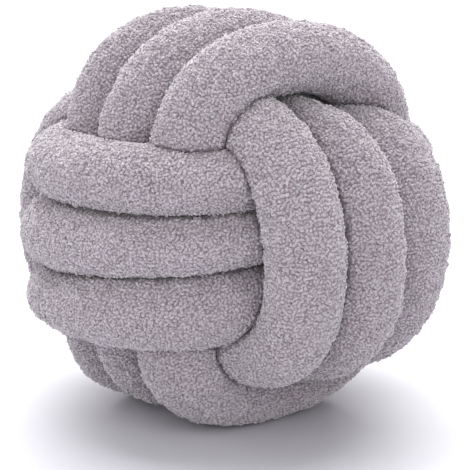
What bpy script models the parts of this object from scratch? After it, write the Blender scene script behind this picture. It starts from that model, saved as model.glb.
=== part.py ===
"""Knot cushion: one long stuffed tube of looped-pile cloth, tied into a ball with three sets of three turns.

Each set of turns lies outside the next one on two opposite sides of the ball and dives under the third
on the two sides between them, so that the three sets lock each other. The tube's joined ends are inside.
Units are metres, +Z is up, and the origin is on the floor under the middle of the ball's outline.
"""

import math
from collections import namedtuple

import bmesh
import bpy
from mathutils import Matrix, Vector

# Driving dimensions.
BALL_RADIUS = 0.150
TUBE_THICKNESS = 0.0517
CORE_RADIUS = 0.129  # the packed inner turns, which nothing shows of
SEAM_OVERLAP = 0.003  # how far a turn is pressed into its neighbour, beyond the line where they meet
SITTING_HEIGHT = 0.138  # from the floor to the ball's middle, so that the three lowest turns have small flat spots

# How the ball sags under its own weight, in shares of its own shape.
HEIGHT_SHARE = 0.945
WIDTH_SHARE = 1.03
TAPER = 0.044  # how much narrower than at its middle it is at the top, and wider at the bottom
LEAN_X = 0.0381  # how far it leans for each metre of height

# How the turns are drawn.
SECTION_POWER = 1.82  # 2 is an ellipse, and less has slimmer shoulders
BEND_SHARPNESS = 5.4  # how suddenly a turn dives under the next set
STEPS_ALONG = 76
STEPS_AROUND = 20
CORE_SUBDIVISIONS = 3
CUTTER_SIDE = 0.6
SLIVER = 0.0002
LEAST_SINE = 1e-6
SEAM_ANGLE = math.radians(35)  # faces that meet more sharply are shaded as a crease

# A line along which two turns of a set press together, or the outer edge of its first or last turn.
# It lies nearly in a plane across the set's axis. All values are metres.
#   offset  where that plane crosses the set's axis
#   lean    how far the line has slid along the axis at the side where the turns dive under
#   slant   how far it has slid at the side where the turns lie outermost
#   bow     how far it curves along the axis on both outermost sides alike
Seam = namedtuple("Seam", "offset lean slant bow")

# A turn, which lies between one seam of its set and the next. All values are metres.
#   lift       how far it stands out from the ball
#   underpass  from the set's axis to the tube's own middle, where it runs under another set
#   tilt       how much farther out it runs on the short side, and nearer in on the opposite side
Turn = namedtuple("Turn", "lift underpass tilt")

# A set's three directions: long is where its turns lie outermost, short is where they dive under.
# Its axis is slid by these distances along the long and the short direction.
TurnSet = namedtuple("TurnSet", "name long short axis slid_long slid_short seams turns")

ALONG_X = Vector((1, 0, 0))
ALONG_Y = Vector((0, 1, 0))
ALONG_Z = Vector((0, 0, 1))

TURN_SETS = (
    TurnSet(
        "level", ALONG_Y, ALONG_X, ALONG_Z, -0.0026, -0.0021,
        (
            Seam(offset=-0.0730, lean=0.0047, slant=-0.0014, bow=-0.0031),
            Seam(offset=-0.0250, lean=0.0137, slant=-0.0036, bow=-0.0048),
            Seam(offset=0.0213, lean=0.0021, slant=-0.0022, bow=-0.0018),
            Seam(offset=0.0689, lean=0.0002, slant=-0.0022, bow=-0.0041),
        ),
        (
            Turn(lift=0.0035, underpass=0.0836, tilt=-0.0050),
            Turn(lift=-0.0027, underpass=0.0902, tilt=-0.0017),
            Turn(lift=0.0038, underpass=0.0888, tilt=-0.0020),
        ),
    ),
    TurnSet(
        "upright", ALONG_X, ALONG_Z, ALONG_Y, 0.0002, -0.0074,
        (
            Seam(offset=-0.0762, lean=-0.0068, slant=0.0026, bow=-0.0080),
            Seam(offset=-0.0245, lean=-0.0008, slant=-0.0017, bow=-0.0053),
            Seam(offset=0.0146, lean=-0.0029, slant=-0.0009, bow=-0.0001),
            Seam(offset=0.0625, lean=0.0053, slant=-0.0003, bow=0.0089),
        ),
        (
            Turn(lift=0.0120, underpass=0.0869, tilt=0.0136),
            Turn(lift=0.0083, underpass=0.0825, tilt=-0.0030),
            Turn(lift=0.0042, underpass=0.0819, tilt=-0.0132),
        ),
    ),
    TurnSet(
        "over", ALONG_Z, ALONG_Y, ALONG_X, 0.0021, -0.0117,
        (
            Seam(offset=-0.0719, lean=-0.0101, slant=-0.0040, bow=0.0064),
            Seam(offset=-0.0240, lean=0.0000, slant=-0.0012, bow=0.0012),
            Seam(offset=0.0174, lean=0.0003, slant=0.0073, bow=0.0049),
            Seam(offset=0.0758, lean=0.0090, slant=0.0088, bow=0.0051),
        ),
        (
            Turn(lift=0.0083, underpass=0.0809, tilt=0.0009),
            Turn(lift=0.0011, underpass=0.0885, tilt=0.0021),
            Turn(lift=0.0100, underpass=0.0857, tilt=0.0057),
        ),
    ),
)

CLOTH_COLOUR = (0.44, 0.39, 0.43, 1.0)
CLOTH_ROUGHNESS = 0.95


def clear_scene():
    for obj in list(bpy.data.objects):
        bpy.data.objects.remove(obj)


def new_collection(name):
    collection = bpy.data.collections.new(name)
    bpy.context.scene.collection.children.link(collection)
    return collection


def cloth_material():
    material = bpy.data.materials.new("looped_pile_cloth")
    material.use_nodes = True
    shader = material.node_tree.nodes["Principled BSDF"]
    shader.inputs["Base Color"].default_value = CLOTH_COLOUR
    shader.inputs["Roughness"].default_value = CLOTH_ROUGHNESS
    shader.inputs["Metallic"].default_value = 0.0
    return material


def softer_minimum(first, second):
    """The lesser of two lengths, blended where they are alike."""
    total = first**-BEND_SHARPNESS + second**-BEND_SHARPNESS
    return total ** (-1.0 / BEND_SHARPNESS)


def seam_place(seam, angle):
    """How far along the set's axis a seam lies, at this angle round the turns."""
    outwards = math.cos(angle)
    return seam.offset + seam.lean * math.sin(angle) + seam.slant * outwards + seam.bow * outwards**2


def path_point(turn_set, number, angle):
    """The middle of the tube at this angle round its turn, from the set's middle, and half its width."""
    lower, upper = (seam_place(seam, angle) for seam in turn_set.seams[number:number + 2])
    turn = turn_set.turns[number]
    middle = (lower + upper) / 2
    sideways = math.sin(angle)
    outermost = BALL_RADIUS + turn.lift - TUBE_THICKNESS / 2
    outside = math.sqrt(outermost**2 - middle**2)
    underpass = turn.underpass + turn.tilt * sideways
    radius = softer_minimum(outside, underpass / max(abs(sideways), LEAST_SINE))
    in_plane = turn_set.long * (radius * math.cos(angle)) + turn_set.short * (radius * sideways)
    return in_plane + turn_set.axis * middle, (upper - lower) / 2 + SEAM_OVERLAP


def section_point(angle):
    """A point of the tube's section, from -1 to 1 across its width and across its thickness."""
    across = math.cos(angle)
    out = math.sin(angle)
    power = 2.0 / SECTION_POWER
    return math.copysign(abs(across) ** power, across), math.copysign(abs(out) ** power, out)


def surface_point(turn_set, number, along, around):
    """A point of the tube's surface, along and around it in shares of a full turn."""
    angle = math.tau * along
    small_angle = math.tau / STEPS_ALONG / 2
    middle, half_width = path_point(turn_set, number, angle)
    before = path_point(turn_set, number, angle - small_angle)[0]
    after = path_point(turn_set, number, angle + small_angle)[0]
    ahead = after - before
    across = ahead.cross(middle).normalized()
    if across.dot(turn_set.axis) < 0:
        across.negate()
    out = (middle - ahead * (middle.dot(ahead) / ahead.length_squared)).normalized()
    share_across, share_out = section_point(math.tau * around)
    set_middle = turn_set.long * turn_set.slid_long + turn_set.short * turn_set.slid_short
    from_middle = middle + across * (share_across * half_width) + out * (share_out * TUBE_THICKNESS / 2)
    return set_middle + from_middle


def sagged(point):
    """Where a point of the knot as drawn lies once the ball has sagged, and stands on the floor."""
    width = WIDTH_SHARE * (1 - TAPER * point.z / BALL_RADIUS)
    height = point.z * HEIGHT_SHARE + SITTING_HEIGHT
    return Vector((point.x * width + point.z * LEAN_X, point.y * width, height))


def outward_normals(mesh):
    shape = bmesh.new()
    shape.from_mesh(mesh)
    bmesh.ops.recalc_face_normals(shape, faces=shape.faces)
    shape.to_mesh(mesh)
    shape.free()


def move_to(obj, collection):
    for owner in list(obj.users_collection):
        owner.objects.unlink(obj)
    collection.objects.link(obj)


def without_slivers(mesh):
    """Closes up the needle-thin faces that are left where two turns only just meet."""
    shape = bmesh.new()
    shape.from_mesh(mesh)
    bmesh.ops.triangulate(shape, faces=shape.faces)
    bmesh.ops.dissolve_degenerate(shape, dist=SLIVER, edges=shape.edges)
    bmesh.ops.triangulate(shape, faces=shape.faces)
    shape.to_mesh(mesh)
    shape.free()


def as_helper(obj, collection):
    """A shape that is joined to the cushion or cut from it, and isn't a part of its own."""
    move_to(obj, collection)
    obj.hide_render = True
    obj.display_type = "WIRE"


def make_turn(turn_set, number, collection):
    """One turn of the stuffed tube, as a torus whose rings follow the turn's path."""
    bpy.ops.mesh.primitive_torus_add(major_segments=STEPS_ALONG, minor_segments=STEPS_AROUND)
    obj = bpy.context.object
    obj.name = f"{turn_set.name}_turn_{number + 1}"
    first_ring = 0.5 * (number % 2)  # the rings of neighbouring turns alternate
    for vertex in obj.data.vertices:
        ring, around = divmod(vertex.index, STEPS_AROUND)
        along = (ring + first_ring) / STEPS_ALONG
        vertex.co = sagged(surface_point(turn_set, number, along, around / STEPS_AROUND))
    outward_normals(obj.data)
    as_helper(obj, collection)


def make_core(collection):
    bpy.ops.mesh.primitive_ico_sphere_add(subdivisions=CORE_SUBDIVISIONS, radius=CORE_RADIUS)
    obj = bpy.context.object
    obj.name = "knotted_tube"
    for vertex in obj.data.vertices:
        vertex.co = sagged(vertex.co)
    obj.data.materials.append(cloth_material())
    move_to(obj, collection)
    return obj


def centre_over_origin(objects):
    """Slides the whole knot level, so that the middle of its outline is over the origin."""
    points = [vertex.co for obj in objects for vertex in obj.data.vertices]
    middle_x = (min(point.x for point in points) + max(point.x for point in points)) / 2
    middle_y = (min(point.y for point in points) + max(point.y for point in points)) / 2
    for obj in objects:
        obj.data.transform(Matrix.Translation((-middle_x, -middle_y, 0)))


def make_floor_cutter(collection):
    bpy.ops.mesh.primitive_cube_add(size=CUTTER_SIDE, location=(0, 0, -CUTTER_SIDE / 2))
    obj = bpy.context.object
    obj.name = "floor_cutter"
    as_helper(obj, collection)
    return obj


def add_boolean(obj, name, operation):
    modifier = obj.modifiers.new(name, "BOOLEAN")
    modifier.operation = operation
    modifier.solver = "EXACT"
    return modifier


def make_cushion(core, turns, cutter):
    """The packed middle with all nine turns joined to it, cut flat where it sits, with creased seams."""
    join = add_boolean(core, "join_turns", "UNION")
    join.operand_type = "COLLECTION"
    join.collection = turns
    cut = add_boolean(core, "sit_flat", "DIFFERENCE")
    cut.object = cutter
    shape = core.evaluated_get(bpy.context.evaluated_depsgraph_get())
    core.data = bpy.data.meshes.new_from_object(shape)
    core.modifiers.clear()
    without_slivers(core.data)
    core.data.name = core.name
    core.data.shade_smooth()
    core.data.set_sharp_from_angle(angle=SEAM_ANGLE)


def main():
    clear_scene()
    cushion = new_collection("knot_cushion")
    turns = new_collection("turns")
    cutters = new_collection("cutters")
    for turn_set in TURN_SETS:
        for number in range(len(turn_set.turns)):
            make_turn(turn_set, number, turns)
    core = make_core(cushion)
    centre_over_origin([core, *turns.objects])
    make_cushion(core, turns, make_floor_cutter(cutters))


main()
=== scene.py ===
"""Dresses the knot cushion: nine pressed, stuffed turns of one tube, covered in a looped pile.

The turns are drawn from the same named sizes as the cushion's solid. Where two turns meet they are
pressed flat against each other, and where the ball sits it is flat. The pile is a lumpy ground with
curled loops of yarn standing out of it. Units are metres, +Z is up.
"""

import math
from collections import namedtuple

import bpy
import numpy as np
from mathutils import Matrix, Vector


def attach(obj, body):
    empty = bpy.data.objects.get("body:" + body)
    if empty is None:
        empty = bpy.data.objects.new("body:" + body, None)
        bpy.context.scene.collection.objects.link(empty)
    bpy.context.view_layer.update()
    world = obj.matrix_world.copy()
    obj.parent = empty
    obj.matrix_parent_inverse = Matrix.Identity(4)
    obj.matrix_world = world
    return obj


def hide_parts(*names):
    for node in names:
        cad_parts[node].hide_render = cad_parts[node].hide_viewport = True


bl_info = {
    "name": "Knot cushion",
    "version": (1, 0, 0),
    "blender": (4, 5, 0),
    "location": "3D View > Sidebar > Knot cushion",
    "description": "Makes the turns, the looped pile and the studio of a knot cushion",
    "category": "Object",
}

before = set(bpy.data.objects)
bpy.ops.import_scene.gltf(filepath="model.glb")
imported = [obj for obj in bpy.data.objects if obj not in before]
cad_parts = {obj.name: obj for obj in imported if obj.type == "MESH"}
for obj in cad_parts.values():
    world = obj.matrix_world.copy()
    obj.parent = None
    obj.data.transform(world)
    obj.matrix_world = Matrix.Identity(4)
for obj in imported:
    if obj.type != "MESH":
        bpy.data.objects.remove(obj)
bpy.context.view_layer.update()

NODE = "knotted_tube"
BODY = "root"

# A line along which two turns of a set press together, or the outer edge of its first or last turn.
# It lies nearly in a plane across the set's axis. All values are metres.
#   offset  where that plane crosses the set's axis
#   lean    how far the line has slid along the axis at the side where the turns dive under
#   slant   how far it has slid at the side where the turns lie outermost
#   bow     how far it curves along the axis on both outermost sides alike
Seam = namedtuple("Seam", "offset lean slant bow")

# A turn, which lies between one seam of its set and the next. All values are metres.
#   lift       how far it stands out from the ball
#   underpass  from the set's axis to the tube's own middle, where it runs under another set
#   tilt       how much farther out it runs on the short side, and nearer in on the opposite side
Turn = namedtuple("Turn", "lift underpass tilt")

# A set's three directions: long is where its turns lie outermost, short is where they dive under.
# Its axis is slid by these distances along the long and the short direction.
TurnSet = namedtuple("TurnSet", "name long short axis slid_long slid_short seams turns")

ALONG_X = np.array((1.0, 0.0, 0.0))
ALONG_Y = np.array((0.0, 1.0, 0.0))
ALONG_Z = np.array((0.0, 0.0, 1.0))

TURN_SETS = (
    TurnSet(
        "level", ALONG_Y, ALONG_X, ALONG_Z, -0.0026, -0.0021,
        (
            Seam(offset=-0.0730, lean=0.0047, slant=-0.0014, bow=-0.0031),
            Seam(offset=-0.0250, lean=0.0137, slant=-0.0036, bow=-0.0048),
            Seam(offset=0.0213, lean=0.0021, slant=-0.0022, bow=-0.0018),
            Seam(offset=0.0689, lean=0.0002, slant=-0.0022, bow=-0.0041),
        ),
        (
            Turn(lift=0.0035, underpass=0.0836, tilt=-0.0050),
            Turn(lift=-0.0027, underpass=0.0902, tilt=-0.0017),
            Turn(lift=0.0038, underpass=0.0888, tilt=-0.0020),
        ),
    ),
    TurnSet(
        "upright", ALONG_X, ALONG_Z, ALONG_Y, 0.0002, -0.0074,
        (
            Seam(offset=-0.0762, lean=-0.0068, slant=0.0026, bow=-0.0080),
            Seam(offset=-0.0245, lean=-0.0008, slant=-0.0017, bow=-0.0053),
            Seam(offset=0.0146, lean=-0.0029, slant=-0.0009, bow=-0.0001),
            Seam(offset=0.0625, lean=0.0053, slant=-0.0003, bow=0.0089),
        ),
        (
            Turn(lift=0.0120, underpass=0.0869, tilt=0.0136),
            Turn(lift=0.0083, underpass=0.0825, tilt=-0.0030),
            Turn(lift=0.0042, underpass=0.0819, tilt=-0.0132),
        ),
    ),
    TurnSet(
        "over", ALONG_Z, ALONG_Y, ALONG_X, 0.0021, -0.0117,
        (
            Seam(offset=-0.0719, lean=-0.0101, slant=-0.0040, bow=0.0064),
            Seam(offset=-0.0240, lean=0.0000, slant=-0.0012, bow=0.0012),
            Seam(offset=0.0174, lean=0.0003, slant=0.0073, bow=0.0049),
            Seam(offset=0.0758, lean=0.0090, slant=0.0088, bow=0.0051),
        ),
        (
            Turn(lift=0.0083, underpass=0.0809, tilt=0.0009),
            Turn(lift=0.0011, underpass=0.0885, tilt=0.0021),
            Turn(lift=0.0100, underpass=0.0857, tilt=0.0057),
        ),
    ),
)
ALL_TURNS = tuple(
    (turn_set, number) for turn_set in TURN_SETS for number in range(len(turn_set.turns))
)

# How finely a turn's ground is drawn, in metres between its points.
SHOWN_ANGLE = math.radians(61)  # to each side of where a turn lies outermost
SHOWN_STEP = 0.0030
HIDDEN_STEP = 0.0080
SECTION_SAMPLES = 721  # for measuring the way round a section
SECTION_CROWN = 0.25  # of the way round, where a section is outermost
OUTER_SHARE = 0.66  # of the way round, the part that can be seen

# Where a turn is pressed, held and seen. Distances are metres from the middle of the knot as drawn.
PRESS_STEPS = 14  # halvings in the search for the place where two turns meet
FREE_SHARE = 0.999  # a point that keeps less than this share of its reach is pressed by a neighbour
SEAM_SHADE_WIDTH = 0.028  # as a share of a turn, how far outside its neighbours the painted seam shade reaches
HIDDEN_RADIUS = 0.108  # nothing of a turn is seen nearer in than this
SHOWN_FADE = 0.008  # outside that, the depth over which the pile grows to its full height
HELD_RADIUS = 0.112  # nearer in than this, the inner turns hold the cloth
FLOOR_HOLD = 0.001  # the floor holds the cloth that lies within this height of it
LEAST_SINE = 1e-6  # so that nothing is divided by zero
SMALL_ANGLE = 1e-4  # for measuring how steeply a turn's radius changes

# The cloth simulation that lets the filling plump the turns.
CLOTH_FRAMES = 14
CLOTH_QUALITY = 5
LEAST_MOVE = 1e-4  # so that nothing is divided by zero

# How finely the inner turns are drawn.
INNER_SUBDIVISIONS = 4


# ------------------------------------------------------------------ the user's sizes and colours


def length_setting(name, description, default):
    return bpy.props.FloatProperty(
        name=name, description=description, default=default,
        subtype="DISTANCE", unit="LENGTH", precision=5,
    )


def angle_setting(name, description, degrees):
    return bpy.props.FloatProperty(
        name=name, description=description, default=math.radians(degrees),
        subtype="ANGLE", unit="ROTATION",
    )


def share_setting(name, description, default, low=0.0, high=1.0):
    return bpy.props.FloatProperty(
        name=name, description=description, default=default, min=low, max=high
    )


def strength_setting(name, description, default):
    return bpy.props.FloatProperty(name=name, description=description, default=default, min=0.0)


def colour_setting(name, description, default):
    return bpy.props.FloatVectorProperty(
        name=name, description=description, default=default,
        subtype="COLOR", size=3, min=0.0, max=1.0,
    )


class KnotShape(bpy.types.PropertyGroup):
    ball_radius: length_setting("Ball radius", "From the ball's middle to a turn's crown", 0.150)
    tube_thickness: length_setting("Tube thickness", "Of the stuffed tube, inwards", 0.0517)
    core_radius: length_setting("Inner turns' radius", "Of the turns packed inside", 0.104)
    seam_overlap: length_setting("Seam overlap", "How far a turn presses into its neighbour", 0.003)
    sitting_height: length_setting("Sitting height", "From the floor to the ball's middle", 0.138)
    height_share: share_setting("Height share", "Sagged height for a unit of drawn height", 0.945)
    width_share: share_setting(
        "Width share", "Sagged width for a unit of drawn width", 1.03, 0.5, 1.5
    )
    taper: share_setting("Taper", "How much narrower it is at the top", 0.044)
    lean_x: share_setting(
        "Lean", "How far it leans along X for each metre of height", 0.0381, -0.5, 0.5
    )
    slid_x: length_setting("Slid along X", "To bring the outline's middle over the origin", 0.0004)
    slid_y: length_setting("Slid along Y", "To bring the outline's middle over the origin", 0.0027)
    section_power: share_setting(
        "Section power", "2 gives an elliptic section, and less slimmer shoulders", 1.82, 1.2, 6.0
    )
    bend_sharpness: share_setting(
        "Bend sharpness", "How suddenly a turn dives under", 5.4, 2.0, 20.0
    )
    seam_gap: length_setting("Seam gap", "Left between two pressed turns", 0.0005)
    filling_pressure: strength_setting("Filling pressure", "Of the filling on the cloth", 4.0)
    cloth_slack: share_setting(
        "Cloth slack", "By how much the cloth is longer than it lies", 0.004, 0.0, 0.2
    )
    most_plumping: length_setting("Most plumping", "How far the filling may move the cloth", 0.005)


class PileCloth(bpy.types.PropertyGroup):
    depth: length_setting("Pile depth", "From the solid's face in to the ground cloth", 0.0018)
    lump_size: length_setting("Lump size", "Across the soft lumps of the filling and pile", 0.011)
    lump_height: length_setting("Lump height", "Of the soft lumps", 0.0006)
    nub_size: length_setting("Nub size", "Across the nubs of the pile", 0.0042)
    nub_height: length_setting("Nub height", "Of the nubs", 0.0009)
    loop_spacing: length_setting("Loop spacing", "Least distance between two loops", 0.0018)
    loop_reach: length_setting("Loop reach", "From a loop's middle to its end", 0.0015)
    loop_rise: length_setting("Loop rise", "How far a loop's middle stands above its ends", 0.0006)
    yarn_radius: length_setting("Yarn radius", "Of a loop's yarn", 0.0013)
    seed: bpy.props.IntProperty(name="Seed", description="Of the loops' places", default=7, min=0)


class ClothFinish(bpy.types.PropertyGroup):
    tip_colour: colour_setting("Tips", "Of the loops that catch the light", (0.69, 0.63, 0.685))
    # The ground colour is the yarn's hue darkened with painted shade, for the shade between the
    # loops.
    shaded_ground_colour: colour_setting("Ground", "Between the loops", (0.22, 0.165, 0.205))
    # Painted shade: the colour of the deep crease between two turns, where shade falls.
    painted_seam_shade: colour_setting("Seam", "Deep between two turns", (0.11, 0.07, 0.095))
    curl_size: length_setting("Curl size", "Across the curls that are too fine to be drawn", 0.0022)
    roughness: share_setting("Roughness", "Of the yarn", 0.92)
    sheen: share_setting("Sheen", "Of the pile's fine fibres", 1.0)


class Studio(bpy.types.PropertyGroup):
    azimuth: angle_setting("Azimuth", "Of the camera", 47.04)
    elevation: angle_setting("Elevation", "Of the camera", 11.74)
    distance: length_setting("Distance", "From the camera to the ball's middle", 1.2)
    floor_size: length_setting("Floor size", "Across the floor", 14.0)
    floor_colour: colour_setting("Floor", "Of the floor", (0.65, 0.645, 0.69))
    key_light: strength_setting("Key light", "Of the light from behind and above", 4.5)
    light_spread: angle_setting("Light spread", "How wide each light is", 75)
    key_turn: angle_setting("Key turn", "From the camera's azimuth to the key light's", 176)
    key_elevation: angle_setting("Key elevation", "Of the key light", 57)
    fill_light: strength_setting("Fill light", "Of the light from the camera's side", 1.38)
    fill_elevation: angle_setting("Fill elevation", "Of the fill light", 25)
    top_light: strength_setting("Top light", "Of the light from the left and above", 0.9)
    top_turn: angle_setting("Top turn", "From the camera's azimuth to the top light's", -125)
    top_elevation: angle_setting("Top elevation", "Of the top light", 45)
    sky: strength_setting("Sky", "Of the even light from all sides", 0.55)


# ------------------------------------------------------------------ node trees


class Tree:
    """Adds nodes to a tree, and links or sets their inputs."""

    def __init__(self, tree):
        self.nodes = tree.nodes
        self.links = tree.links

    def add(self, kind, *values, **settings):
        """A new node with these settings.

        Values fill its first inputs, and a setting called inputs fills those that it names.
        """
        node = self.nodes.new(kind)
        inputs = settings.pop("inputs", {})
        for name, value in settings.items():
            setattr(node, name, value)
        shown = [socket for socket in node.inputs if socket.enabled]
        for socket, value in zip(shown, values):
            self.fill(socket, value)
        for name, value in inputs.items():
            socket = next(socket for socket in shown if socket.name == name)
            self.fill(socket, value)
        return node

    def fill(self, socket, value):
        if value is None:
            return
        if isinstance(value, bpy.types.Node):
            value = next(output for output in value.outputs if output.enabled)
        if isinstance(value, bpy.types.NodeSocket):
            self.links.new(value, socket)
        else:
            socket.default_value = value

    def maths(self, operation, *values):
        return self.add("ShaderNodeMath", *values, operation=operation)

    def along(self, vector, factor):
        node = self.add("ShaderNodeVectorMath", operation="SCALE")
        self.fill(node.inputs[0], vector)
        self.fill(node.inputs["Scale"], factor)
        return node

    def mixed_colour(self, factor, first, second):
        """The first colour where the factor is 0 and the second where it is 1."""
        node = self.add("ShaderNodeMix", data_type="RGBA")
        shown = {socket.name: socket for socket in node.inputs if socket.enabled}
        for name, value in (("Factor", factor), ("A", first), ("B", second)):
            self.fill(shown[name], value)
        return node

    def spread(self, value, low, high, new_low, new_high):
        return self.add("ShaderNodeMapRange", value, low, high, new_low, new_high)


def new_socket(tree, name, kind, output=False):
    tree.interface.new_socket(name, in_out="OUTPUT" if output else "INPUT", socket_type=kind)


# ------------------------------------------------------------------ the turns' shape


def seam_place(seam, angle):
    """How far along the set's axis a seam lies, at these angles round the turns."""
    outwards = np.cos(angle)
    return seam.offset + seam.lean * np.sin(angle) + seam.slant * outwards + seam.bow * outwards**2


def path_radius(shape, turn_set, number, angle, middle):
    """How far from the set's axis the middle of the tube lies."""
    turn = turn_set.turns[number]
    outermost = shape.ball_radius + turn.lift - shape.tube_thickness / 2
    outside = np.sqrt(outermost**2 - middle**2)
    sideways = np.sin(angle)
    underpass = (turn.underpass + turn.tilt * sideways) / np.maximum(np.abs(sideways), LEAST_SINE)
    power = -shape.bend_sharpness
    return (outside**power + underpass**power) ** (1 / power)


def turn_path(shape, turn_set, number, angle):
    """A turn's place along its axis, its radius, half its width, and half its radial thickness."""
    lower, upper = (seam_place(seam, angle) for seam in turn_set.seams[number:number + 2])
    middle = (lower + upper) / 2
    radius = path_radius(shape, turn_set, number, angle, middle)
    ahead = path_radius(shape, turn_set, number, angle + SMALL_ANGLE, middle)
    slope = (ahead - radius) / SMALL_ANGLE / radius
    half_width = (upper - lower) / 2 + shape.seam_overlap
    half_thickness = shape.tube_thickness / 2 * np.sqrt(1 + slope**2)
    return middle, radius, half_width, half_thickness


def around_axis(turn_set, angle):
    return np.cos(angle)[..., None] * turn_set.long + np.sin(angle)[..., None] * turn_set.short


def set_middle(turn_set):
    return turn_set.slid_long * turn_set.long + turn_set.slid_short * turn_set.short


def fullness(shape, turn_set, number, points):
    """0 in the middle of a turn, 1 on its surface, and more outside it."""
    points = points - set_middle(turn_set)
    along_long = points @ turn_set.long
    along_short = points @ turn_set.short
    angle = np.arctan2(along_short, along_long)
    middle, radius, half_width, half_thickness = turn_path(shape, turn_set, number, angle)
    across = np.abs(points @ turn_set.axis - middle) / half_width
    out = np.abs(np.hypot(along_long, along_short) - radius) / half_thickness
    power = shape.section_power
    return (across**power + out**power) ** (1 / power)


def spaced(low, high, step):
    """Evenly spaced values, an even number of them, so that every second one can be left out."""
    count = 2 * max(1, round((high - low) / step / 2))
    return np.linspace(low, high, count, endpoint=False)


def ring_angles(shape):
    """Angles round a turn: close together where it is outermost, far apart where it is hidden."""
    fine = SHOWN_STEP / shape.ball_radius
    coarse = HIDDEN_STEP / shape.core_radius
    half_turn = np.concatenate([
        spaced(-SHOWN_ANGLE, SHOWN_ANGLE, fine),
        spaced(SHOWN_ANGLE, math.pi - SHOWN_ANGLE, coarse),
    ])
    return np.concatenate([half_turn, half_turn + math.pi])


def section_points(shape):
    """Points round a section, from -1 to 1 across and outwards, closest on the side that shows."""
    even = np.linspace(0.0, math.tau, SECTION_SAMPLES)
    power = 2 / shape.section_power
    across = np.sign(np.cos(even)) * np.abs(np.cos(even)) ** power
    out = np.sign(np.sin(even)) * np.abs(np.sin(even)) ** power
    half_size = shape.tube_thickness / 2
    way = np.concatenate([[0.0], np.cumsum(np.hypot(np.diff(across), np.diff(out)))]) * half_size
    start = way[-1] * (SECTION_CROWN - OUTER_SHARE / 2)
    stop = way[-1] * (SECTION_CROWN + OUTER_SHARE / 2)
    stations = np.concatenate([
        spaced(start, stop, SHOWN_STEP),
        spaced(stop, start + way[-1], HIDDEN_STEP),
    ]) % way[-1]
    return np.interp(stations, way, across), np.interp(stations, way, out)


def pressed_share(shape, own, middle_points, reach):
    """How far out, from 0 to 1, each point may lie before it meets another turn half-way.

    Also how far outside the nearest other turn each point would lie if nothing pressed it.
    """
    free = np.ones(len(reach))
    outside = np.full(len(reach), np.inf)
    for turn_set, number in ALL_TURNS:
        if (turn_set, number) == own:
            continue
        unpressed = fullness(shape, turn_set, number, middle_points + reach)
        outside = np.minimum(outside, unpressed - 1.0)
        inside = np.flatnonzero(unpressed < 1.0)
        low = np.zeros(len(inside))
        high = np.ones(len(inside))
        for _ in range(PRESS_STEPS):
            half = (low + high) / 2
            points = middle_points[inside] + reach[inside] * half[:, None]
            clear = fullness(shape, turn_set, number, points) > half
            low = np.where(clear, half, low)
            high = np.where(clear, high, half)
        free[inside] = np.minimum(free[inside], low)
    return free, outside


def sagged(shape, points):
    """Where points of the knot as drawn lie once the ball has sagged, and stands on the floor."""
    width = shape.width_share * (1 - shape.taper * points[:, 2] / shape.ball_radius)
    placed = np.empty_like(points)
    placed[:, 0] = points[:, 0] * width + points[:, 2] * shape.lean_x + shape.slid_x
    placed[:, 1] = points[:, 1] * width + shape.slid_y
    placed[:, 2] = points[:, 2] * shape.height_share + shape.sitting_height
    return placed


Ground = namedtuple("Ground", "name points rings steps shown open held")


def turn_ground(shape, pile, turn_set, number):
    """A turn's pressed ground cloth, as rings of points.

    Shown is how much of the pile is up at each point, and the seam shade clearance how far the
    point lies from the seams, both from 0 to 1. By it the cloth is painted with shade near the
    seams.
    Held is whether a neighbour, the inner turns or the floor holds it.
    """
    angle = ring_angles(shape)
    across, out = section_points(shape)
    middle, radius, half_width, half_thickness = turn_path(shape, turn_set, number, angle)
    outwards = around_axis(turn_set, angle)
    middle_points = set_middle(turn_set) + outwards * radius[:, None]
    middle_points += turn_set.axis * middle[:, None]
    sideways = across[None, :, None] * half_width[:, None, None] * turn_set.axis
    upwards = out[None, :, None] * half_thickness[:, None, None] * outwards[:, None, :]
    reach = (sideways + upwards).reshape(-1, 3)
    middle_points = np.repeat(middle_points, len(across), axis=0)
    free, outside = pressed_share(shape, (turn_set, number), middle_points, reach)
    size = np.linalg.norm(reach, axis=1)
    gap = np.where(free < 1.0, shape.seam_gap, pile.depth) / size
    points = middle_points + reach * (free - gap)[:, None]
    distance = np.linalg.norm(points, axis=1)
    shown = np.clip((distance - HIDDEN_RADIUS) / SHOWN_FADE, 0, 1) * (free > FREE_SHARE)
    # Painted shade: near a seam the cloth is painted darker, for the shade in the crease between
    # two turns.
    away_from_seam_shade = np.clip(outside / SEAM_SHADE_WIDTH, 0, 1)
    held = (free < FREE_SHARE) | (distance < HELD_RADIUS)
    name = f"{turn_set.name}_turn_{number + 1}"
    points = sagged(shape, points)
    points[:, 2] = np.maximum(points[:, 2], pile.depth)
    held |= points[:, 2] < pile.depth + FLOOR_HOLD
    return Ground(name, points, len(angle), len(across), shown, away_from_seam_shade, held)


def every_second(values, ground):
    """The values of every second point of every second ring."""
    return values.reshape(ground.rings, ground.steps, -1)[::2, ::2].reshape(len(values) // 4, -1)


def filled_in(values, ground):
    """Values for all points, half-way between those of every second one."""
    grid = values.reshape(ground.rings // 2, ground.steps // 2, -1)
    for axis in (0, 1):
        after = np.roll(grid, -1, axis)
        grid = np.stack([grid, (grid + after) / 2], axis + 1)
        counts = list(grid.shape)
        counts[axis:axis + 2] = [counts[axis] * counts[axis + 1]]
        grid = grid.reshape(counts)
    return grid.reshape(ground.rings * ground.steps, -1)


def coordinates(mesh):
    points = np.empty(len(mesh.vertices) * 3)
    mesh.vertices.foreach_get("co", points)
    return points.reshape(-1, 3)


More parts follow.
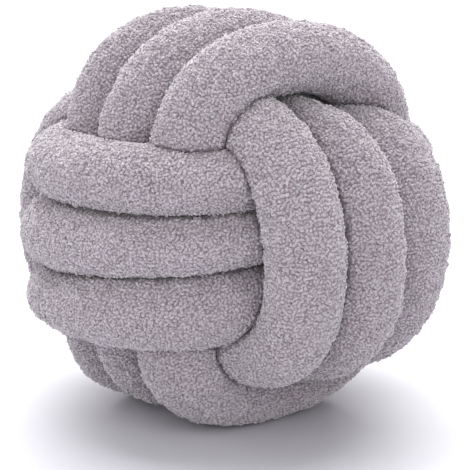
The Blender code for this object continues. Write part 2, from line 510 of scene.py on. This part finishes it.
def plumped(shape, grounds):
    """The grounds plumped by their filling: a cloth simulation on every second ring and point."""
    scene = bpy.context.scene
    pieces = []
    for ground in grounds:
        points = every_second(ground.points, ground)
        held = every_second(ground.held.astype(float), ground)[:, 0]
        mesh = ring_mesh(ground.name, points, ground.rings // 2, ground.steps // 2)
        obj = make_piece(ground.name, mesh)
        obj.vertex_groups.new(name="held").add(np.flatnonzero(held).tolist(), 1.0, "REPLACE")
        modifier = obj.modifiers.new("filling", "CLOTH")
        modifier.point_cache.frame_start = 1
        modifier.point_cache.frame_end = CLOTH_FRAMES
        cloth = modifier.settings
        cloth.quality = CLOTH_QUALITY
        cloth.vertex_group_mass = "held"
        cloth.use_pressure = True
        cloth.uniform_pressure_force = shape.filling_pressure
        cloth.shrink_min = -shape.cloth_slack
        cloth.effector_weights.gravity = 0.0
        modifier.collision_settings.use_collision = False
        pieces.append(obj)
    for moment in range(1, CLOTH_FRAMES + 1):
        scene.frame_set(moment)
    graph = bpy.context.evaluated_depsgraph_get()
    moves = []
    for ground, obj in zip(grounds, pieces):
        pressed = bpy.data.meshes.new_from_object(obj.evaluated_get(graph))
        move = coordinates(pressed) - every_second(ground.points, ground)
        distance = np.maximum(np.linalg.norm(move, axis=1)[:, None], LEAST_MOVE)
        moves.append(filled_in(move * np.minimum(1.0, shape.most_plumping / distance), ground))
        bpy.data.meshes.remove(pressed)
    for obj in pieces:
        bare = obj.data
        bpy.data.objects.remove(obj)
        bpy.data.meshes.remove(bare)
    scene.frame_set(1)
    return [ground._replace(points=ground.points + move) for ground, move in zip(grounds, moves)]


def ring_mesh(name, points, rings, steps):
    """A closed tube through rings of points."""
    ring = np.arange(rings)[:, None]
    step = np.arange(steps)[None, :]
    next_ring = (ring + 1) % rings
    next_step = (step + 1) % steps
    corners = np.stack([
        ring * steps + step,
        next_ring * steps + step,
        next_ring * steps + next_step,
        ring * steps + next_step,
    ], axis=-1).reshape(-1, 4)
    first, second, fourth = points[corners[:, 0]], points[corners[:, 1]], points[corners[:, 3]]
    normals = np.cross(second - first, fourth - first)
    if np.einsum("ij,ij->", first, normals) < 0:
        corners = corners[:, ::-1]
    mesh = bpy.data.meshes.new(name)
    mesh.from_pydata(points.tolist(), [], corners.tolist())
    return mesh


# ------------------------------------------------------------------ the looped pile


PILE_NAME = "looped pile"
PILE_INPUTS = (
    ("Lump Size", "lump_size"),
    ("Lump Height", "lump_height"),
    ("Nub Size", "nub_size"),
    ("Nub Height", "nub_height"),
    ("Loop Spacing", "loop_spacing"),
    ("Loop Reach", "loop_reach"),
    ("Loop Rise", "loop_rise"),
    ("Yarn Radius", "yarn_radius"),
)
LOOP_SIDES = 3  # of the bean that stands for a loop, round it and along it
LOOP_BASE = -0.5  # where the lower two corners of its section lie, with the upper one at 1
LOOP_SINK = 0.1  # how far it is sunk, as a share of its rise
YARN_FLATNESS = 0.9  # a loop's half thickness as a share of its half width
CURL_SIDES = (-0.45, 0.0, 0.45)  # how far each kind of loop curls sideways, as a share of its reach
LOOP_TILT = 0.5  # the most that a loop leans to any side, in radians
SIZE_RANGE = (0.85, 1.2)  # of a loop, as a share of its given size
TONE_RANGE = (0.8, 0.9)  # of a loop
LOOPS_TRIED = 6.0  # for each square of the least distance between two loops
FULL_DENSITY_SHOWN = 0.15  # loops stand at their closest where at least this much of the pile is up
NUB_DISTORTION = 0.6
FLOOR_CLEARANCE = 0.0003
NOISE_RANGE = (0.3, 0.7)  # where nearly all of a noise's values lie


def with_attribute(tree, geometry, name, value, domain="POINT"):
    """The geometry, with this value kept on it under this name."""
    return tree.add(
        "GeometryNodeStoreNamedAttribute", geometry, None, name, value,
        data_type="FLOAT", domain=domain,
    )


def loop_of_yarn(tree, given, side):
    """One loop of yarn: a bean that rises in its middle, sinks at its tips and curls to a side."""
    bean = tree.add("GeometryNodeMeshUVSphere", LOOP_SIDES, LOOP_SIDES, 1.0).outputs["Mesh"]
    place = tree.add("ShaderNodeSeparateXYZ", tree.add("GeometryNodeInputPosition"))
    squared = tree.maths("MULTIPLY", place.outputs["Z"], place.outputs["Z"])
    hump = tree.maths("SUBTRACT", 1.0, squared)
    backwards = tree.maths("MULTIPLY", given["Loop Reach"], -1.0)
    lengthwise = tree.maths("MULTIPLY", place.outputs["Z"], backwards)
    curled = tree.maths("MULTIPLY", hump, tree.maths("MULTIPLY", given["Loop Reach"], side))
    sideways = tree.maths("MULTIPLY_ADD", place.outputs["Y"], given["Yarn Radius"], curled)
    raised = tree.maths("MULTIPLY", tree.maths("SUBTRACT", hump, LOOP_SINK), given["Loop Rise"])
    thickness = tree.maths("MULTIPLY", given["Yarn Radius"], YARN_FLATNESS)
    upwards = tree.maths("MULTIPLY_ADD", place.outputs["X"], thickness, raised)
    # The height within the loop is kept, for the painted shade at the loop's base.
    measured = with_attribute(
        tree, bean, "loop_height", tree.spread(place.outputs["X"], LOOP_BASE, 1.0, 0.0, 1.0)
    )
    formed = tree.add("ShaderNodeCombineXYZ", lengthwise, sideways, upwards)
    return tree.add("GeometryNodeSetPosition", measured, None, formed)


def random_between(tree, low, high, seed, kind="FLOAT"):
    inputs = {"Min": low, "Max": high, "Seed": seed}
    return tree.add("FunctionNodeRandomValue", data_type=kind, inputs=inputs)


def noise(tree, scale, detail, distortion, vector=None):
    """A noise's value, from 0 to 1. Without a vector it follows the place on the piece."""
    inputs = {"Scale": scale, "Detail": detail, "Distortion": distortion, "Vector": vector}
    return tree.add("ShaderNodeTexNoise", inputs=inputs).outputs["Fac"]


def swing(tree, value, most):
    """A noise's value spread evenly from this far below zero to this far above it."""
    return tree.spread(value, *NOISE_RANGE, -most, most)


def looped_pile_tree():
    """Raises the ground into lumps and nubs, and stands loops of yarn on what shows of it."""
    group = bpy.data.node_groups.new(PILE_NAME, "GeometryNodeTree")
    new_socket(group, "Geometry", "NodeSocketGeometry")
    for name, _ in PILE_INPUTS:
        new_socket(group, name, "NodeSocketFloat")
    new_socket(group, "Seed", "NodeSocketInt")
    new_socket(group, "Cloth", "NodeSocketMaterial")
    new_socket(group, "Geometry", "NodeSocketGeometry", output=True)
    tree = Tree(group)
    given = tree.add("NodeGroupInput").outputs
    stored = tree.add("GeometryNodeInputNamedAttribute", "shown", data_type="FLOAT")
    shown = stored.outputs["Attribute"]

    lumps = noise(tree, tree.maths("DIVIDE", 1.0, given["Lump Size"]), 1.0, 0.0)
    nubs = noise(tree, tree.maths("DIVIDE", 1.0, given["Nub Size"]), 0.0, NUB_DISTORTION)
    lump_rise = tree.maths("MULTIPLY", swing(tree, lumps, 1.0), given["Lump Height"])
    nub_rise = tree.maths("MULTIPLY", swing(tree, nubs, 1.0), given["Nub Height"])
    rise = tree.maths("MULTIPLY", tree.maths("ADD", lump_rise, nub_rise), shown)
    raised = tree.add(
        "GeometryNodeSetPosition", given["Geometry"], None, None,
        tree.along(tree.add("GeometryNodeInputNormal"), rise),
    )
    # The ground gets tone 0, and so the ground colour: painted shade between the loops.
    ground = with_attribute(tree, raised, "loop_tone", 0.0)

    square = tree.maths("POWER", given["Loop Spacing"], 2.0)
    scatter = tree.add(
        "GeometryNodeDistributePointsOnFaces", raised, distribute_method="POISSON",
        inputs={
            "Distance Min": given["Loop Spacing"],
            "Density Max": tree.maths("DIVIDE", LOOPS_TRIED, square),
            "Density Factor": tree.spread(shown, 0.0, FULL_DENSITY_SHOWN, 0.0, 1.0),
            "Seed": given["Seed"],
        },
    )
    curls = tree.add("GeometryNodeJoinGeometry")
    for side in CURL_SIDES:
        as_instance = tree.add("GeometryNodeGeometryToInstance", loop_of_yarn(tree, given, side))
        tree.links.new(as_instance.outputs[0], curls.inputs[0])
    pick = random_between(tree, 0, len(CURL_SIDES) - 1, tree.maths("ADD", given["Seed"], 1), "INT")
    tilt = random_between(
        tree, (-LOOP_TILT, -LOOP_TILT, -math.pi), (LOOP_TILT, LOOP_TILT, math.pi),
        tree.maths("ADD", given["Seed"], 2), "FLOAT_VECTOR",
    )
    turned = tree.add(
        "FunctionNodeRotateRotation", scatter.outputs["Rotation"],
        tree.add("FunctionNodeEulerToRotation", tilt), rotation_space="LOCAL",
    )
    size = random_between(tree, *SIZE_RANGE, tree.maths("ADD", given["Seed"], 3))
    loops = tree.add(
        "GeometryNodeInstanceOnPoints",
        scatter.outputs["Points"], None, curls, True, pick, turned, size,
    )
    tone = random_between(tree, *TONE_RANGE, tree.maths("ADD", given["Seed"], 4))
    toned = with_attribute(tree, loops, "loop_tone", tone, "INSTANCE")

    both = tree.add("GeometryNodeJoinGeometry")
    for part in (ground, toned):
        tree.links.new(part.outputs[0], both.inputs[0])
    real = tree.add("GeometryNodeRealizeInstances", both)
    place = tree.add("ShaderNodeSeparateXYZ", tree.add("GeometryNodeInputPosition"))
    resting = tree.add(
        "ShaderNodeCombineXYZ", place.outputs["X"], place.outputs["Y"],
        tree.maths("MAXIMUM", place.outputs["Z"], FLOOR_CLEARANCE),
    )
    rested = tree.add("GeometryNodeSetPosition", real, None, resting)
    smooth = tree.add("GeometryNodeSetShadeSmooth", rested)
    finished = tree.add("GeometryNodeSetMaterial", smooth, None, given["Cloth"])
    tree.add("NodeGroupOutput", finished)
    return group


def with_pile(obj, group, pile, material):
    """The object's mesh with its pile on, as a plain mesh."""
    modifier = obj.modifiers.new(PILE_NAME, "NODES")
    modifier.node_group = group
    items = group.interface.items_tree
    sockets = {item.name: item.identifier for item in items if item.in_out == "INPUT"}
    for name, size in PILE_INPUTS:
        modifier[sockets[name]] = getattr(pile, size)
    modifier[sockets["Seed"]] = pile.seed
    modifier[sockets["Cloth"]] = material
    mesh = bpy.data.meshes.new_from_object(obj.evaluated_get(bpy.context.evaluated_depsgraph_get()))
    mesh.materials.pop(index=0)  # the empty slot that the tree leaves before the cloth's
    obj.modifiers.clear()
    bare = obj.data
    obj.data = mesh
    bpy.data.meshes.remove(bare)
    mesh.name = obj.name


# ------------------------------------------------------------------ the cloth's finish


CLOTH_NAME = "looped pile cloth"
# Painted shade: each loop is darker towards its base, where it sinks into the ground.
PAINTED_BASE_SHADE = 0.5  # a loop's tone at its base, as a share of its tone at its top
# Painted light on the ridges of the finest curls, and painted shade between them.
RIDGE_PAINTED_LIGHT = 0.35  # of the tone, the share that follows the curls too fine to be drawn
RIDGE_WIDTH = 0.16  # of those curls, as a step of the noise that draws them
CURL_DISTORTION = 0.8
CLUMP_FREQUENCY = 0.22  # of the clumps of curls, as a share of the curls' own
CLUMP_DISTORTION = 0.3
CLUMP_TONE = 0.06
WASH_FREQUENCY = 0.05  # of the faint, wide unevenness, as a share of the curls' own
WASH_TONE = 0.03
RELIEF_STRENGTH = 0.6
RELIEF_HEIGHT = 0.0006
YARN_SPECULAR = 0.15
SHEEN_ROUGHNESS = 0.5


def pile_shade_group():
    """Colour and relief of curly yarn: painted light on curls, painted shade between, uneven."""
    group = bpy.data.node_groups.new("curly yarn", "ShaderNodeTree")
    for name in ("Tips", "Ground", "Seam"):
        new_socket(group, name, "NodeSocketColor")
    for name in ("Curl Size", "Tone", "Loop Height", "Open"):
        new_socket(group, name, "NodeSocketFloat")
    new_socket(group, "Color", "NodeSocketColor", output=True)
    new_socket(group, "Height", "NodeSocketFloat", output=True)
    tree = Tree(group)
    given = tree.add("NodeGroupInput").outputs
    place = tree.add("ShaderNodeTexCoord").outputs["Object"]
    frequency = tree.maths("DIVIDE", 1.0, given["Curl Size"])
    curls = noise(tree, frequency, 1.0, CURL_DISTORTION, place)
    off_ridge = tree.maths("ABSOLUTE", tree.maths("SUBTRACT", curls, 0.5))
    ridge = tree.spread(off_ridge, 0.0, RIDGE_WIDTH, 1.0, 0.0)
    clump_frequency = tree.maths("MULTIPLY", frequency, CLUMP_FREQUENCY)
    clumps = noise(tree, clump_frequency, 2.0, CLUMP_DISTORTION, place)
    wash_frequency = tree.maths("MULTIPLY", frequency, WASH_FREQUENCY)
    wash = noise(tree, wash_frequency, 2.0, 0.0, place)
    # Painted shade, darker towards each loop's base.
    base_shade = tree.spread(given["Loop Height"], 0.0, 1.0, PAINTED_BASE_SHADE, 1.0)
    raised = tree.maths("MULTIPLY", given["Tone"], base_shade)
    curl_light = tree.maths("MULTIPLY", ridge, RIDGE_PAINTED_LIGHT)
    light = tree.maths("MULTIPLY_ADD", raised, 1.0 - RIDGE_PAINTED_LIGHT, curl_light)
    light = tree.maths("ADD", light, swing(tree, clumps, CLUMP_TONE))
    light = tree.maths("ADD", light, swing(tree, wash, WASH_TONE))
    # Painted light and shade: the ground colour where this is low, the tips' colour where it is
    # high.
    away_from_seam_shade = tree.mixed_colour(light, given["Ground"], given["Tips"])
    # Painted shade: towards the seams the colour turns to the seam colour, for the shade in the
    # crease.
    tree.add("NodeGroupOutput", tree.mixed_colour(given["Open"], given["Seam"], away_from_seam_shade), ridge)
    return group


def cloth_material(finish):
    material = bpy.data.materials.new(CLOTH_NAME)
    material.use_nodes = True
    tree = Tree(material.node_tree)
    shader = tree.nodes["Principled BSDF"]
    shade = tree.add("ShaderNodeGroup", node_tree=pile_shade_group())
    for name, value in (
        ("Tips", (*finish.tip_colour, 1.0)),
        # The ground colour is painted shade, darker than the yarn.
        ("Ground", (*finish.shaded_ground_colour, 1.0)),
        # The seam colour is painted shade.
        ("Seam", (*finish.painted_seam_shade, 1.0)),
        ("Curl Size", finish.curl_size),
    ):
        tree.fill(shade.inputs[name], value)
    for name, attribute in (
        ("Tone", "loop_tone"),
        ("Loop Height", "loop_height"),
        # The seam shade clearance fades out the painted seam shade.
        ("Open", "open"),
    ):
        stored = tree.add("ShaderNodeAttribute", attribute_name=attribute)
        tree.fill(shade.inputs[name], stored.outputs["Fac"])
    relief = tree.add("ShaderNodeBump", inputs={
        "Strength": RELIEF_STRENGTH, "Distance": RELIEF_HEIGHT, "Height": shade.outputs["Height"],
    })
    tree.fill(shader.inputs["Base Color"], shade.outputs["Color"])
    tree.fill(shader.inputs["Normal"], relief)
    shader.inputs["Roughness"].default_value = finish.roughness
    shader.inputs["Specular IOR Level"].default_value = YARN_SPECULAR
    shader.inputs["Sheen Weight"].default_value = finish.sheen
    shader.inputs["Sheen Roughness"].default_value = SHEEN_ROUGHNESS
    return material


def shared_cloth(finish):
    return bpy.data.materials.get(CLOTH_NAME) or cloth_material(finish)


# ------------------------------------------------------------------ operators


def settle(obj):
    """Hangs a finished piece of the cushion from the body, and hides the solid it stands for."""
    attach(obj, BODY)
    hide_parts(NODE)


def make_piece(name, mesh):
    obj = bpy.data.objects.new(name, mesh)
    bpy.context.scene.collection.objects.link(obj)
    return obj


class KNOT_OT_turns(bpy.types.Operator):
    """Make one set's three stuffed turns, pressed by their neighbours and covered in pile"""

    bl_idname = "knot_cushion.turns"
    bl_label = "Turns of a set"

    turn_set: bpy.props.EnumProperty(
        name="Set", items=[(turn_set.name, turn_set.name.title(), "") for turn_set in TURN_SETS]
    )

    def execute(self, context):
        scene = context.scene
        shape, pile = scene.knot_shape, scene.pile_cloth
        turn_set = next(item for item in TURN_SETS if item.name == self.turn_set)
        group = bpy.data.node_groups.get(PILE_NAME) or looped_pile_tree()
        numbers = range(len(turn_set.turns))
        grounds = [turn_ground(shape, pile, turn_set, number) for number in numbers]
        grounds = plumped(shape, grounds)
        for ground in grounds:
            mesh = ring_mesh(ground.name, ground.points, ground.rings, ground.steps)
            # The seam shade clearance goes on the mesh, for the cloth's painted seam shade.
            for name in ("shown", "open"):
                attribute = mesh.attributes.new(name, "FLOAT", "POINT")
                attribute.data.foreach_set("value", getattr(ground, name))
            obj = make_piece(ground.name, mesh)
            with_pile(obj, group, pile, shared_cloth(scene.cloth_finish))
            settle(obj)
        return {"FINISHED"}


class KNOT_OT_inner_turns(bpy.types.Operator):
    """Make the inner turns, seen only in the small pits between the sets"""

    bl_idname = "knot_cushion.inner_turns"
    bl_label = "Inner turns"

    def execute(self, context):
        shape = context.scene.knot_shape
        bpy.ops.mesh.primitive_ico_sphere_add(
            subdivisions=INNER_SUBDIVISIONS, radius=shape.core_radius
        )
        obj = context.object
        obj.name = "inner_turns"
        mesh = obj.data
        mesh.vertices.foreach_set("co", sagged(shape, coordinates(mesh)).ravel())
        mesh.shade_smooth()
        # These turns carry none of the cloth's attributes, so they are painted wholly in the seam
        # colour, painted shade.
        mesh.materials.append(shared_cloth(context.scene.cloth_finish))
        settle(obj)
        return {"FINISHED"}


PHOTO_WIDTH = 470  # pixels
BALL_PIXEL = (235.6, 210.4)  # where the ball's middle is in the photograph
PIXELS_PER_METRE = 210.3 / 0.150  # at the ball's middle
SENSOR_WIDTH = 36.0  # millimetres
FLOOR_ROUGHNESS = 0.6
WHITE = (1.0, 1.0, 1.0, 1.0)


def direction(azimuth, elevation):
    """Towards a place that is seen from the ball at these angles. Azimuth 0 is the -Y side."""
    level = math.cos(elevation)
    return Vector((math.sin(azimuth) * level, -math.cos(azimuth) * level, math.sin(elevation)))


def soft_light(name, strength, spread, azimuth, elevation):
    """An even, soft light that comes from this direction."""
    data = bpy.data.lights.new(name, "SUN")
    data.energy = strength
    data.angle = spread
    obj = bpy.data.objects.new(name, data)
    bpy.context.scene.collection.objects.link(obj)
    obj.location = direction(azimuth, elevation)
    obj.rotation_euler = obj.location.to_track_quat("Z", "Y").to_euler()


def add_camera(studio, centre):
    """The photograph's camera: its frame holds the ball where the photograph does."""
    back = direction(studio.azimuth, studio.elevation)
    right = Vector((math.cos(studio.azimuth), math.sin(studio.azimuth), 0.0))
    up = back.cross(right)
    middle = PHOTO_WIDTH / 2
    aim_right = (middle - BALL_PIXEL[0]) / PIXELS_PER_METRE
    aim_down = (middle - BALL_PIXEL[1]) / PIXELS_PER_METRE
    data = bpy.data.cameras.new("camera")
    data.sensor_width = SENSOR_WIDTH
    data.lens = SENSOR_WIDTH * PIXELS_PER_METRE * studio.distance / PHOTO_WIDTH
    obj = bpy.data.objects.new("camera", data)
    bpy.context.scene.collection.objects.link(obj)
    obj.location = centre + back * studio.distance
    target = centre + right * aim_right - up * aim_down
    obj.rotation_euler = (target - obj.location).to_track_quat("-Z", "Y").to_euler()
    bpy.context.scene.camera = obj


class KNOT_OT_studio(bpy.types.Operator):
    """Make the plain floor, the soft studio light and the camera"""

    bl_idname = "knot_cushion.studio"
    bl_label = "Studio"

    def execute(self, context):
        scene = context.scene
        studio, shape = scene.studio, scene.knot_shape
        bpy.ops.mesh.primitive_plane_add(size=studio.floor_size)
        floor = context.object
        floor.name = "floor"
        material = bpy.data.materials.new("floor")
        material.use_nodes = True
        shader = material.node_tree.nodes["Principled BSDF"]
        shader.inputs["Base Color"].default_value = (*studio.floor_colour, 1.0)
        shader.inputs["Roughness"].default_value = FLOOR_ROUGHNESS
        floor.data.materials.append(material)

        world = bpy.data.worlds.new("even light")
        world.use_nodes = True
        sky = world.node_tree.nodes["Background"]
        sky.inputs["Color"].default_value = WHITE
        sky.inputs["Strength"].default_value = studio.sky
        scene.world = world
        centre = Vector((shape.slid_x, shape.slid_y, shape.sitting_height))
        for name, strength, turn, elevation in (
            ("key light", studio.key_light, studio.key_turn, studio.key_elevation),
            ("fill light", studio.fill_light, 0.0, studio.fill_elevation),
            ("top light", studio.top_light, studio.top_turn, studio.top_elevation),
        ):
            soft_light(name, strength, studio.light_spread, studio.azimuth + turn, elevation)
        add_camera(studio, centre)
        scene.view_settings.view_transform = "Standard"
        return {"FINISHED"}


class KNOT_PT_panel(bpy.types.Panel):
    """Lists the cushion's steps and sizes"""

    bl_idname = "KNOT_PT_panel"
    bl_label = "Knot cushion"
    bl_space_type = "VIEW_3D"
    bl_region_type = "UI"
    bl_category = "Knot cushion"

    def draw(self, context):
        for turn_set in TURN_SETS:
            text = f"{turn_set.name.title()} turns"
            self.layout.operator("knot_cushion.turns", text=text).turn_set = turn_set.name
        self.layout.operator("knot_cushion.inner_turns")
        self.layout.operator("knot_cushion.studio")
        for name in SETTINGS:
            settings = getattr(context.scene, name)
            box = self.layout.box()
            box.label(text=name.replace("_", " ").title())
            for key in settings.bl_rna.properties.keys():
                if key not in {"rna_type", "name"}:
                    box.prop(settings, key)


SETTINGS = {
    "knot_shape": KnotShape,
    "pile_cloth": PileCloth,
    "cloth_finish": ClothFinish,
    "studio": Studio,
}
CLASSES = (*SETTINGS.values(), KNOT_OT_turns, KNOT_OT_inner_turns, KNOT_OT_studio, KNOT_PT_panel)


def register():
    for item in CLASSES:
        bpy.utils.register_class(item)
    for name, group in SETTINGS.items():
        setattr(bpy.types.Scene, name, bpy.props.PointerProperty(type=group))


def unregister():
    for name in SETTINGS:
        delattr(bpy.types.Scene, name)
    for item in reversed(CLASSES):
        bpy.utils.unregister_class(item)


def main():
    register()
    for turn_set in TURN_SETS:
        bpy.ops.knot_cushion.turns(turn_set=turn_set.name)
    bpy.ops.knot_cushion.inner_turns()
    bpy.ops.knot_cushion.studio()


if __name__ == "__main__":
    main()
